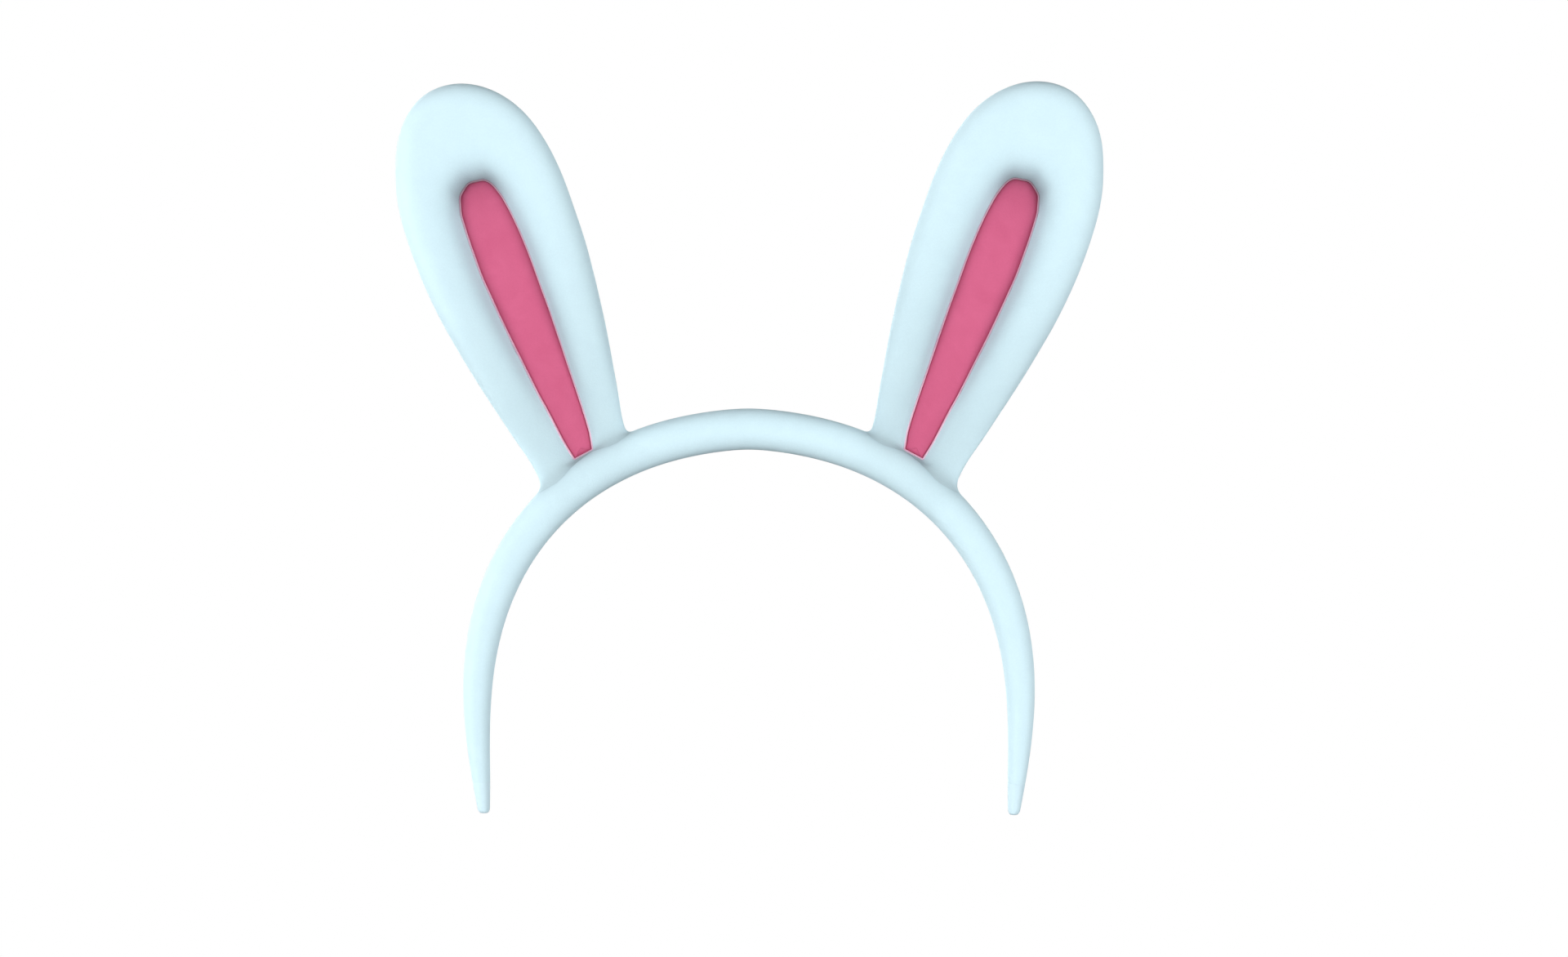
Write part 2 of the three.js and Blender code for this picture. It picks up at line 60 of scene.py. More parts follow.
# Outline of the right ear: up the outer side, over the top, down the inner side, closed in the band.
EAR = np.array([
    [44.4, -9.3], [48.6, -12.6], [51.9, -10.6], [55.5, -4.7], [59.76, 1.76], [63.72, 7.71],
    [67.63, 13.68], [71.44, 19.72], [75.11, 25.84], [78.65, 32.04], [81.86, 38.4],
    [84.75, 44.92], [87.25, 51.61], [89.38, 58.42], [90.79, 65.42], [91.14, 72.56],
    [90.54, 79.66], [88.06, 86.32], [83.38, 91.65], [76.8, 94.26], [69.7, 93.96],
    [63.12, 91.25], [57.56, 86.8], [53.23, 81.15], [49.76, 74.92], [46.97, 68.35],
    [44.61, 61.62], [42.35, 54.85], [40.44, 47.97], [38.75, 41.03], [37.17, 34.07],
    [35.77, 27.07], [34.48, 20.04], [33.25, 13.0], [31.95, 6.3], [30.9, 0.9],
    [33.0, -2.4], [38.0, -5.0]])

# Outline of the pink panel, in the same direction, from its short lower edge.
PANEL = np.array([
    [42.45, -1.15], [44.85, -2.4], [46.45, 0.1], [48.17, 3.09], [50.04, 6.66], [51.74, 10.02],
    [53.69, 13.35], [55.45, 16.84], [57.16, 20.2], [58.96, 23.8], [60.7, 27.16], [62.42, 30.7],
    [64.14, 34.27], [65.77, 37.84], [67.42, 41.47], [69.06, 45.06], [70.38, 48.87],
    [71.82, 52.8], [73.08, 56.73], [74.3, 60.84], [74.61, 65.46], [72.45, 68.82],
    [68.25, 69.76], [66.15, 68.51], [63.86, 65.67], [61.95, 62.31], [60.15, 58.74],
    [58.56, 55.17], [57.06, 51.49], [55.61, 47.72], [54.28, 43.9], [52.88, 40.15],
    [51.41, 36.16], [50.13, 32.37], [48.76, 28.39], [47.42, 24.4], [46.14, 20.62],
    [44.81, 16.72], [43.46, 12.75], [42.17, 8.79], [41.0, 4.77], [40.15, 0.1]])

SLEEVE_T = 0.7
COVER_T = 0.8
CAP = 8.0
ARM_BLEND = (60.0, 104.0)      # arc lengths at which arm_zone starts and ends
PAD_SPLIT = 0.15

FRONT = (2.0, 5.8)             # height of the front crest at the foot and further up
BACK = (3.6, 6.4)
PANEL_H = (-0.2, -1.3)


# ---------------------------------------------------------------- curves

def natural_spline(t, y, q):
    """Cubic through y at t, free ends, at q. y is (n, k)."""
    t, y, q = np.asarray(t, float), np.asarray(y, float), np.asarray(q, float)
    if y.ndim == 1:
        return natural_spline(t, y[:, None], q)[:, 0]
    n, h = len(t), np.diff(t)
    A = np.zeros((n, n)); R = np.zeros_like(y)
    A[0, 0] = A[-1, -1] = 1
    for i in range(1, n - 1):
        A[i, i - 1:i + 2] = h[i - 1], 2 * (h[i - 1] + h[i]), h[i]
        R[i] = 6 * ((y[i + 1] - y[i]) / h[i] - (y[i] - y[i - 1]) / h[i - 1])
    M = np.linalg.solve(A, R)
    k = np.clip(np.searchsorted(t, q, side="right") - 1, 0, n - 2)
    d, hk = (q - t[k])[:, None], h[k][:, None]
    e = hk - d
    return (M[k] * e ** 3 + M[k + 1] * d ** 3) / (6 * hk) + (y[k] / hk - M[k] * hk / 6) * e + (
        y[k + 1] / hk - M[k + 1] * hk / 6) * d


def smoothstep(a, b, x):
    t = np.clip((np.asarray(x, float) - a) / (b - a), 0, 1)
    return t * t * (3 - 2 * t)


def closed_dense(points, n, spline=True):
    """n points evenly along a closed curve through points."""
    p = np.asarray(points, float)
    wrap = np.vstack([p[-6:], p, p[:7]])
    t = np.r_[0, np.cumsum(np.linalg.norm(np.diff(wrap, axis=0), axis=1))]
    a, b = t[6], t[6 + len(p)]
    q = np.linspace(a, b, n * 4, endpoint=False)
    c = natural_spline(t, wrap, q) if spline else np.c_[np.interp(q, t, wrap[:, 0]), np.interp(q, t, wrap[:, 1])]
    loop = np.vstack([c, c[:1]])
    s = np.r_[0, np.cumsum(np.linalg.norm(np.diff(loop, axis=0), axis=1))]
    q = np.linspace(0, s[-1], n, endpoint=False)
    return np.c_[np.interp(q, s, loop[:, 0]), np.interp(q, s, loop[:, 1])], s[-1]


def blur(p, sigma, times=1):
    """Round a closed row of points, or numbers, by a Gaussian of sigma samples."""
    p = np.asarray(p, float)
    r = int(max(3, math.ceil(sigma * 3.5)))
    k = np.exp(-0.5 * (np.arange(-r, r + 1) / sigma) ** 2); k /= k.sum()
    q = p if p.ndim > 1 else p[:, None]
    for _ in range(times):
        w = np.vstack([q[-r:], q, q[:r]])
        q = np.stack([np.convolve(w[:, j], k, mode="valid") for j in range(q.shape[1])], 1)
    return q if p.ndim > 1 else q[:, 0]


def fair(p, sigma):
    """Blur without shrinking: blur, then give back what a second blur takes."""
    b = blur(p, sigma)
    return b + (b - blur(b, sigma))


# ---------------------------------------------------------------- band frame

class Band:
    def __init__(self):
        full = np.vstack([BAND[:0:-1] * [-1, 1, 1, 1], BAND])
        t = np.r_[0, np.cumsum(np.linalg.norm(np.diff(full[:, :2], axis=0), axis=1))]
        q = np.linspace(0, t[-1], 4001)
        c = natural_spline(t, full, q)
        s = np.r_[0, np.cumsum(np.linalg.norm(np.diff(c[:, :2], axis=0), axis=1))]
        self.L = s[-1] / 2
        self.s = s - self.L
        self.c = c
        g = np.gradient(c[:, :2], self.s, axis=0)
        k = np.ones(61) / 61
        g = np.stack([np.convolve(np.pad(g[:, j], 30, mode="edge"), k, mode="valid") for j in range(2)], 1)
        self.t = g / np.linalg.norm(g, axis=1)[:, None]

    def at(self, s):
        s = np.asarray(s, float)
        f = lambda a: np.interp(s, self.s, a)
        c = np.stack([f(self.c[:, 0]), f(self.c[:, 1])], -1)
        over = s - np.clip(s, -self.L, self.L)
        t = np.stack([f(self.t[:, 0]), f(self.t[:, 1])], -1)
        t /= np.linalg.norm(t, axis=-1)[..., None]
        c = c + t * over[..., None]
        n = np.stack([-t[..., 1], t[..., 0]], -1)
        return c, t, n, f(self.c[:, 2]) / 2, f(self.c[:, 3]) / 2

    def place(self, s, y, r):
        """Points at arc length s, depth y and distance r out from the centre line."""
        c, _, n, _, _ = self.at(s)
        y, r = np.broadcast_to(y, np.shape(s)), np.broadcast_to(r, np.shape(s))
        return np.stack([c[..., 0] + n[..., 0] * r, y, c[..., 1] + n[..., 1] * r], -1)

    def distance(self, p):
        """Distance of points outside the band's surface, and their arc length. p is (n, 3)."""
        grid = np.linspace(-20, 90, 1101)
        c, t, n, a, b = self.at(grid)
        q = p[:, [0, 2]]
        near = np.empty(len(p), int)
        for i in range(0, len(p), 4000):
            near[i:i + 4000] = ((q[i:i + 4000, None] - c[None]) ** 2).sum(-1).argmin(1)
        v = q - c[near]
        r = (v * n[near]).sum(-1)
        rho = np.hypot(r, p[:, 1])
        size = np.where(rho > 1e-6, 1 / np.sqrt((r / np.maximum(rho, 1e-6) / a[near]) ** 2 + (p[:, 1] / np.maximum(rho, 1e-6) / b[near]) ** 2), a[near])
        return rho - size, grid[near]


band = Band()
L = band.L
FOOT = np.array([42.4, -2.0])
APEX = np.array([76.0, 94.4])
RISE = APEX - FOOT
UP = RISE / np.linalg.norm(RISE)
BEND_AT = FOOT + RISE * 0.45


def share(p):
    return np.clip(((p - FOOT) @ RISE) / (RISE @ RISE), 0, 1)


# ---------------------------------------------------------------- meshes

def grid_mesh(name, rings, loop=False, cap=True, caps_fan=False):
    """Mesh through rings (m, n, 3) in millimetres, closed round each ring. Ends are closed by a ladder, or the last ring joins the first."""
    rings = np.asarray(rings, float)
    m, n = rings.shape[:2]
    co = rings.reshape(-1, 3) * MM
    i = np.arange(n); j = np.arange(m if loop else m - 1)
    J, I = np.meshgrid(j, i, indexing="ij")
    a = J * n + I; b = J * n + (I + 1) % n
    c = ((J + 1) % m) * n + (I + 1) % n; d = ((J + 1) % m) * n + I
    quads = np.stack([a, b, c, d], -1).reshape(-1, 4).tolist()
    faces = quads
    if not loop and cap:
        for base, flip in ((0, True), ((m - 1) * n, False)):
            lo, hi = 0, n - 1
            while hi - lo > 2:
                f = [base + lo, base + lo + 1, base + hi - 1, base + hi]
                faces.append(f[::-1] if flip else f)
                lo += 1; hi -= 1
            if hi - lo == 2:
                f = [base + lo, base + lo + 1, base + hi]
                faces.append(f[::-1] if flip else f)
    me = bpy.data.meshes.new(name)
    me.from_pydata(co.tolist(), [], faces)
    me.validate()
    bm = bmesh.new(); bm.from_mesh(me)
    if bm.calc_volume(signed=True) < 0:
        bmesh.ops.reverse_faces(bm, faces=bm.faces)
    bm.to_mesh(me); bm.free()
    return me


def new_object(name, me):
    o = bpy.data.objects.new(name, me)
    bpy.context.scene.collection.objects.link(o)
    return o


def mirrored(me, name):
    m = me.copy(); m.name = name
    m.transform(Matrix.Scale(-1, 4, (1, 0, 0)))
    m.flip_normals()
    return m


def combine(me, other, operation):
    """me and another closed mesh, joined or cut."""
    out = None
    for solver in ("MANIFOLD", "EXACT"):
        a, b = new_object("first", me), new_object("second", other)
        mod = a.modifiers.new("m", "BOOLEAN")
        mod.operation, mod.object, mod.solver = operation, b, solver
        bpy.context.view_layer.update()
        out = bpy.data.meshes.new_from_object(a.evaluated_get(bpy.context.evaluated_depsgraph_get()))
        bpy.data.objects.remove(a); bpy.data.objects.remove(b)
        changed = len(out.polygons) not in (0, len(me.polygons))
        if changed:
            break
    return out


def cut(me, cutter):
    """me without what lies inside the cutter's mesh."""
    return combine(me, cutter, "DIFFERENCE")


def tidy(me, angle=38):
    """Smooth shading with sharp edges where faces meet steeply, and no slivers."""
    bm = bmesh.new(); bm.from_mesh(me)
    bmesh.ops.dissolve_degenerate(bm, dist=4e-7, edges=bm.edges)
    for f in bm.faces:
        f.smooth = True
    lim = math.radians(angle)
    for e in bm.edges:
        e.smooth = not (len(e.link_faces) == 2 and e.calc_face_angle(0) > lim)
    bm.to_mesh(me); bm.free()
    return me


# ---------------------------------------------------------------- materials

def srgb(r, g, b):
    f = lambda c: (c / 255 / 12.92) if c / 255 <= 0.04045 else ((c / 255 + 0.055) / 1.055) ** 2.4
    return (f(r), f(g), f(b), 1)


class Mat:
    """A node material built from the shader backwards."""
    def __init__(self, name, base, rough=0.85, sheen=0.0, sheen_rough=0.5, sheen_tint=(1, 1, 1, 1), metallic=0.0, specular=0.3, subsurface=0.0):
        self.m = bpy.data.materials.new(name)
        self.m.use_nodes = True
        nt = self.nt = self.m.node_tree
        nt.nodes.clear()
        self.out = nt.nodes.new("ShaderNodeOutputMaterial")
        self.p = nt.nodes.new("ShaderNodeBsdfPrincipled")
        nt.links.new(self.p.outputs["BSDF"], self.out.inputs["Surface"])
        self.p.inputs["Base Color"].default_value = base
        self.p.inputs["Roughness"].default_value = rough
        self.p.inputs["Metallic"].default_value = metallic
        self.p.inputs["Specular IOR Level"].default_value = specular
        self.p.inputs["Sheen Weight"].default_value = sheen
        self.p.inputs["Sheen Roughness"].default_value = sheen_rough
        self.p.inputs["Sheen Tint"].default_value = sheen_tint
        self.coords = nt.nodes.new("ShaderNodeTexCoord").outputs["Object"]

    def node(self, kind, **props):
        n = self.nt.nodes.new(kind)
        for k, v in props.items():
            if k.startswith("in_"):
                n.inputs[k[3:].replace("_", " ")].default_value = v
            else:
                setattr(n, k, v)
        return n

    def link(self, a, b):
        self.nt.links.new(a, b)

    def noise(self, per_mm, detail=3.0, rough=0.55, vector=None, distortion=0.0):
        n = self.node("ShaderNodeTexNoise")
        n.inputs["Scale"].default_value = 1000.0 * per_mm
        n.inputs["Detail"].default_value = detail
        n.inputs["Roughness"].default_value = rough
        n.inputs["Distortion"].default_value = distortion
        self.link(vector or self.coords, n.inputs["Vector"])
        return n.outputs["Fac"]

    def voronoi(self, per_mm, feature="F1", vector=None):
        n = self.node("ShaderNodeTexVoronoi", feature=feature)
        n.inputs["Scale"].default_value = 1000.0 * per_mm
        self.link(vector or self.coords, n.inputs["Vector"])
        return n.outputs["Distance"]

    def remap(self, x, lo, hi, a=0.0, b=1.0):
        n = self.node("ShaderNodeMapRange")
        n.inputs["From Min"].default_value, n.inputs["From Max"].default_value = lo, hi
        n.inputs["To Min"].default_value, n.inputs["To Max"].default_value = a, b
        self.link(x, n.inputs["Value"])
        return n.outputs["Result"]

    def math(self, op, a, b=None):
        n = self.node("ShaderNodeMath", operation=op)
        for k, v in enumerate((a, b)):
            if v is None:
                continue
            if isinstance(v, (int, float)):
                n.inputs[k].default_value = v
            else:
                self.link(v, n.inputs[k])
        return n.outputs[0]

    def mix(self, fac, a, b, blend="MIX"):
        n = self.node("ShaderNodeMix", data_type="RGBA", blend_type=blend)
        for k, v in ((0, fac), (6, a), (7, b)):
            if isinstance(v, (int, float, tuple)):
                n.inputs[k].default_value = v
            else:
                self.link(v, n.inputs[k])
        return n.outputs[2]

    def bump(self, height, strength, distance_mm, normal=None):
        n = self.node("ShaderNodeBump")
        n.inputs["Strength"].default_value = strength
        n.inputs["Distance"].default_value = distance_mm * MM
        self.link(height, n.inputs["Height"])
        if normal is not None:
            self.link(normal, n.inputs["Normal"])
        return n.outputs["Normal"]

    def colour(self, c):
        self.link(c, self.p.inputs["Base Color"])

    def rough(self, r):
        self.link(r, self.p.inputs["Roughness"])

    def normal(self, n):
        self.link(n, self.p.inputs["Normal"])


def scaled(c, k):
    return (c[0] * k, c[1] * k, c[2] * k, 1)


def velour(name, base, shade, light, sheen=0.05, tint=(1, 1, 1, 1)):
    """Very short brushed pile: fibre tips under half a millimetre, soft brushed patches of a few millimetres."""
    m = Mat(name, base, rough=0.9, sheen=sheen, sheen_rough=0.45, sheen_tint=tint, specular=0.12)
    fibre = m.noise(3.2, 2.0, 0.6)
    tuft = m.voronoi(2.1)
    brushed = m.noise(0.16, 3.0, 0.5, distortion=0.6)
    broad = m.noise(0.03, 2.0, 0.5)
    c = m.mix(m.remap(brushed, 0.3, 0.7), shade, light)
    c = m.mix(m.remap(broad, 0.25, 0.75, 0.35, 0.65), c, base)
    c = m.mix(m.remap(fibre, 0.25, 0.75, 0.0, 0.10), c, scaled(shade, 0.80))
    c = m.mix(m.remap(tuft, 0.1, 0.75, 0.0, 0.07), c, scaled(shade, 0.72))
    # painted shade: a per-vertex attribute darkens the colour where shade falls, in the creases and the trough round
    # the panel
    painted_shade = m.node("ShaderNodeAttribute", attribute_name="painted_shade")
    c = m.mix(painted_shade.outputs["Fac"], c, (0, 0, 0, 1))
    m.colour(c)
    m.rough(m.remap(brushed, 0.2, 0.8, 0.84, 0.95))
    n = m.bump(tuft, 0.22, 0.10)
    n = m.bump(fibre, 0.25, 0.07, n)
    n = m.bump(brushed, 0.12, 0.35, n)
    m.normal(n)
    return m.m


ICE = srgb(211, 237, 246)
velour_ice = velour("ice_velour", ICE, srgb(208, 234, 243), srgb(214, 240, 248))
PINK = srgb(208, 99, 135)
velour_pink = velour("pink_velour", PINK, srgb(203, 94, 130), srgb(212, 104, 140), sheen=0.05, tint=(1, 0.8, 0.88, 1))


def plain(name, base, dark, rough, grain, bump_mm, metallic=0.0, specular=0.4, shaded=False):
    m = Mat(name, base, rough=rough, metallic=metallic, specular=specular)
    g = m.noise(grain, 3.0, 0.6)
    w = m.noise(0.12, 3.0, 0.55)
    c = m.mix(m.remap(w, 0.3, 0.7), base, dark)
    c = m.mix(m.remap(g, 0.3, 0.7, 0.0, 0.12), c, scaled(dark, 0.8))
    m.rough(m.remap(w, 0.2, 0.8, max(0.05, rough - 0.08), min(1.0, rough + 0.08)))
    m.normal(m.bump(g, 0.35, bump_mm))
    # painted shade: when shaded, the per-vertex attribute darkens the colour as on the velour
    if shaded:
        painted_shade = m.node("ShaderNodeAttribute", attribute_name="painted_shade")
        c = m.mix(painted_shade.outputs["Fac"], c, (0, 0, 0, 1))
    m.colour(c)
    return m.m


# the edging takes the painted shade of the trough round the panel
edge_pink = plain("pink_edging", srgb(230, 188, 208), srgb(224, 180, 202), 0.8, 1.6, 0.06, shaded=True)
cap_ice = plain("soft_touch_cap", ICE, srgb(206, 231, 241), 0.62, 2.2, 0.03, specular=0.3)
foam_mat = plain("foam", (0.83, 0.82, 0.77, 1), (0.74, 0.72, 0.66, 1), 0.95, 1.1, 0.25, specular=0.1)
strip_mat = plain("spring_strip", (0.78, 0.82, 0.86, 1), (0.70, 0.75, 0.79, 1), 0.42, 0.5, 0.03, specular=0.5)
wire_mat = plain("drawn_wire", (0.42, 0.43, 0.45, 1), (0.30, 0.31, 0.33, 1), 0.36, 3.0, 0.02, metallic=1.0)
thread_mat = plain("thread", srgb(205, 236, 247), srgb(190, 222, 235), 0.75, 3.0, 0.05)

# ---------------------------------------------------------------- pieces

pieces = []


def add_piece(base_name, me, material, nodes, bodies=None, ride=None, extra=()):
    """The right-hand piece and its mirror image. With bodies, the transform is baked into the mesh; otherwise ride
    names the one body it is attached to.
    """
    made = []
    for side in ("right", "left"):
        m = me if side == "right" else mirrored(me, f"left_{base_name}")
        m.name = f"{side}_{base_name}_made"
        o = new_object(f"{side}_{base_name}_made", m)
        m.materials.clear()
        for mat in (material, *extra):
            m.materials.append(mat)
        real = lambda s: s.replace("SIDE", side)
        if nodes:
            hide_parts(*[real(n) for n in nodes])
        if bodies:
            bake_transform(o)
        else:
            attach(o, real(ride))
        made.append(o)
        pieces.append(o)
    return made


arm_zone = (tuple(band.at(ARM_BLEND[0])[0]), tuple(band.at(ARM_BLEND[1])[0]))
ARM = ("crown", "SIDE_arm")
BEND = ("SIDE_ear", "SIDE_ear_tip")


def oval(s, inset, phi, groove=0.0):
    """Rings of the band's section at arc lengths s. phi 0 is away from the head and pi at the head."""
    c, _, n, a, b = band.at(s)
    k = 1 - groove * np.exp(-((phi - math.pi) / 0.055) ** 2)
    r = (a[:, None] - inset) * np.cos(phi)[None] * k[None]
    y = (b[:, None] - inset) * np.sin(phi)[None] * k[None]
    return np.stack([c[:, 0:1] + n[:, 0:1] * r, y, c[:, 1:2] + n[:, 1:2] * r], -1)


# Band sleeve: a closed tube of cover, its seam along the head side.
phi = np.sort(np.r_[np.linspace(0, 2 * math.pi, 48, endpoint=False), math.pi + np.array([-0.1, -0.065, -0.035, 0.035, 0.065, 0.1])])
ss = np.linspace(0.0, L - CAP - 0.015, 190)
outer = oval(ss, 0, phi, 0.045)
inner = oval(ss, SLEEVE_T, phi)
# the cover turns in a hair where it meets the cap
outer[-1] = oval(ss[-1:], 0.03, phi, 0.045)[0]
sleeve = grid_mesh("sleeve", np.concatenate([inner[::-1], outer]), loop=True)
tidy(sleeve)

# Tip cap: tapered, rounded to a small flat end.
ring_phi = np.linspace(0, 2 * math.pi, 40, endpoint=False)


def end_ring(s, inset, phi, level):
    c, _, n, a, b = band.at(np.array([s]))
    tip, _, _, at_, bt = band.at(np.array([L]))
    n = n * (1 - level) + np.array([[1.0, 0.0]]) * level
    n /= np.linalg.norm(n)
    r = (a - inset) * np.cos(phi); y = (b - inset) * np.sin(phi)
    return np.stack([c[0, 0] + n[0, 0] * r, y, c[0, 1] + n[0, 1] * r], -1)


rings = [end_ring(s, i, ring_phi, lv) for s, i, lv in (
    [(L - CAP, 1.0, 0), (L - CAP, 0.03, 0), (L - CAP + 0.06, 0.0, 0), (L - CAP + 0.3, 0.0, 0)]
    + [(L - CAP + 0.3 + (CAP - 1.6) * t, 0.0, 0) for t in np.linspace(0.1, 1, 10)]
    + [(L - 1.3 + 1.3 * math.sin(w), 1.05 * (1 - math.cos(w)) * 0.62, math.sin(w)) for w in np.linspace(0.15, math.pi / 2, 8)])]
cap = grid_mesh("cap", rings)
add_piece("tip_cap", tidy(cap, 50), cap_ice, ["SIDE_tip_cap"], ride="SIDE_arm")

# Hidden pieces of the band: foam, strip.


def band_foam(s0, s1, n):
    """Foam with a flat-bottomed groove for the strip at the head side."""
    w = np.linspace(0.36, 2 * math.pi - 0.36, 26) + math.pi
    s = np.linspace(s0, s1, n)
    c, _, nn, a, b = band.at(s)
    k = smoothstep(40, L - CAP, np.abs(s))
    hw = 2.2 + (1.3 - 2.2) * k
    ht = 0.6 + (0.5 - 0.6) * k
    wall = (a - SLEEVE_T) * np.sqrt(1 - (hw / (b - SLEEVE_T)) ** 2)
    off = -np.maximum(0, wall - 0.4 - ht)
    rows = []
    for i in range(n):
        A, B = a[i] - 1.0, b[i] - 1.0
        y0 = hw[i] + 0.3
        w0 = math.asin(min(0.98, y0 / B))
        ww = np.linspace(math.pi + w0, 3 * math.pi - w0, 26)
        r, y = A * np.cos(ww), B * np.sin(ww)
        top = min(off[i] + ht[i] + 0.3, A * 0.8)
        lo = r[0]
        y = np.r_[y, y0, y0 * 0.5, 0.0, -y0 * 0.5, -y0]
        r = np.r_[r, max(top, lo + 0.05), *(max(top, lo + 0.05),) * 3, max(top, lo + 0.05)]
        rows.append(np.stack([c[i, 0] + nn[i, 0] * r, y, c[i, 1] + nn[i, 1] * r], -1))
    return np.array(rows)


crown_half = grid_mesh("crown_pad", band_foam(0.2, 71.3, 60))
armpad = grid_mesh("arm_pad", band_foam(71.7, L - CAP - 0.5, 52))


def strip(s0, s1, n):
    s = np.linspace(s0, s1, n)
    c, _, nn, a, b = band.at(s)
    k = smoothstep(40, L - CAP, np.abs(s))
    hw = 2.2 + (1.3 - 2.2) * k
    ht = 0.6 + (0.5 - 0.6) * k
    wall = (a - SLEEVE_T) * np.sqrt(1 - (hw / (b - SLEEVE_T)) ** 2)
    off = -np.maximum(0, wall - 0.4 - ht)
    e = 0.16
    sect = [(-1, 0, 0, -1), (0, -1, 0, 0)]
    rows = []
    for i in range(n):
        pts = [(hw[i] - e, -ht[i]), (hw[i], -ht[i] + e), (hw[i], ht[i] - e), (hw[i] - e, ht[i]),
               (-hw[i] + e, ht[i]), (-hw[i], ht[i] - e), (-hw[i], -ht[i] + e), (-hw[i] + e, -ht[i])]
        y = np.array([p[0] for p in pts]); r = np.array([p[1] for p in pts]) + off[i]
        rows.append(np.stack([c[i, 0] + nn[i, 0] * r, y, c[i, 1] + nn[i, 1] * r], -1))
    return np.array(rows)


core_half = grid_mesh("core", strip(0.0, L - 3.4, 130))

# ---------------------------------------------------------------- ear shape

N = 400
S, ear_len = closed_dense(EAR, N * 8)
S = fair(S, 12)
S = S[::8]
P_dense, panel_len = closed_dense(PANEL, 4000, spline=False)
crisp, soft, softer = fair(P_dense, 7), fair(P_dense, 24), fair(P_dense, 55)
vp = share(P_dense)
k1 = smoothstep(0.02, 0.09, vp)[:, None]
k2 = smoothstep(0.62, 0.7, vp)[:, None]
P_dense = crisp * (1 - k1) + (softer * (1 - k2) + soft * k2) * k1
near = np.array([((P_dense - s) ** 2).sum(1).argmin() for s in S]) / 4000.0
even = np.arange(N) / N
u = near.copy()
u[u - even > 0.5] -= 1
u[even - u > 0.5] += 1
u = u * 0.85 + even * 0.15
u = blur(u - even, 4.0) + even


def on_panel(u):
    grid = np.arange(4001)
    return np.c_[np.interp((u % 1) * 4000, grid, np.r_[P_dense[:, 0], P_dense[0, 0]]),
                 np.interp((u % 1) * 4000, grid, np.r_[P_dense[:, 1], P_dense[0, 1]])]


P = on_panel(u)
W = np.linalg.norm(P - S, axis=1)
inward = (P - S) / W[:, None]
tan = np.roll(S, -1, 0) - np.roll(S, 1, 0)
tan /= np.linalg.norm(tan, axis=1)[:, None]
square = np.stack([-tan[:, 1], tan[:, 0]], -1)
v = share(S)

# Middle line of the panel, which the innermost rows close on.
ACROSS = np.array([UP[1], -UP[0]])
lean = (P_dense - FOOT) @ ACROSS
vs = np.linspace(vp.min() + 0.022, vp.max() - 0.032, 60)
middle = np.array([(lean[np.abs(vp - g) < 0.004].max() + lean[np.abs(vp - g) < 0.004].min()) / 2 for g in vs])


def spine(p):
    g = np.clip(share(p), vs[0], vs[-1])
    return FOOT + RISE * g[:, None] + ACROSS * np.interp(g, vs, middle)[:, None]


M = spine(P)
MIDDLE = np.linalg.norm(M - P, axis=1)


def rim_xy(d):
    """Points d (N,) inside the outline."""
    k = smoothstep(0.15, 1, d / W)[:, None]
    return S + (square * (1 - k) + inward * k) * d[:, None]


ARC = np.r_[0.0, 0.02, 0.045, 0.08, 0.14, np.linspace(0.22, math.pi / 2, 12)]
HP = PANEL_H[0] + (PANEL_H[1] - PANEL_H[0]) * smoothstep(0.05, 0.4, v)


def crest(side):
    lo, hi = FRONT if side == "front" else BACK
    return lo + (hi - lo) * smoothstep(0, 0.45, v)


def back_height(xz, in_from_rim):
    """Height of the back at xz. in_from_rim is 0 where the rounded rim ends and 1 on the middle line."""
    k = smoothstep(0, 1, in_from_rim)
    lo, hi = BACK
    return crest("back") * (1 - k) + (lo + (hi - lo) * smoothstep(0, 0.45, share(xz)) + 0.6) * k


def heights(side, rows_out=18):
    """(d, h) rows of the rim's section, (m, N) each, from the outline inwards."""
    H = crest(side)
    d, h = [], []
    if side == "front":
        dc = np.minimum(6.0, 0.42 * W)
        top = smoothstep(0.72, 0.9, v)
        share_slow = 0.66 - 0.30 * top
        slow, fast = 1.9 + 0.4 * top, 7.0 + 1.5 * top
        for w in ARC:
            d.append(dc * (1 - math.cos(w))); h.append(H * math.sin(w))
        for q in np.linspace(0, 1, rows_out)[1:]:
            q = 1 - (1 - q) ** 1.35
            drop = share_slow * q ** slow + (1 - share_slow) * q ** fast
            d.append(dc + (W - dc) * q); h.append(H - (H - HP) * drop)
    else:
        dc = np.minimum(10.0, 0.6 * W)
        for w in ARC:
            d.append(dc * (1 - math.cos(w))); h.append(H * math.sin(w))
        for q in np.linspace(0, 1, 13)[1:]:
            d.append(dc + (W - dc) * q); h.append(back_height(rim_xy(d[-1]), (W - dc) * q / (W - dc + MIDDLE)))
    return np.array(d), np.array(h)


def section(side, t=0.0, seam=0.0):
    """3-D rows of the rim, moved inwards by t square to the section."""
    d, h = heights(side)
    if t:
        dd = np.gradient(d, axis=0); dh = np.gradient(h, axis=0)
        l = np.maximum(np.hypot(dd, dh), 1e-6)
        d2 = d + dh / l * t; h2 = h - dd / l * t
        d2[0], h2[0] = d[0] + t, h[0]
        d, h = d2, h2
    if seam:
        d = d + seam * np.exp(-(h / 0.4) ** 2)
    sign = -1 if side == "front" else 1
    out = []
    for k in range(len(d)):
        xz = rim_xy(d[k])
        y = np.maximum(h[k], 0.03) if k < len(ARC) else h[k]
        out.append(np.stack([xz[:, 0], sign * y, xz[:, 1]], -1))
    return np.array(out)


def lift(xz, y):
    return np.stack([xz[:, 0], np.broadcast_to(y, len(xz)), xz[:, 1]], -1)


def back_middle(f, t=0.0):
    """Row of the back inside the panel's outline, f of the way to the middle line and t under the surface."""
    flat = W - np.minimum(10.0, 0.6 * W)
    xz = P + (M - P) * f
    return lift(xz, back_height(xz, (flat + MIDDLE * f) / (flat + MIDDLE)) - t)


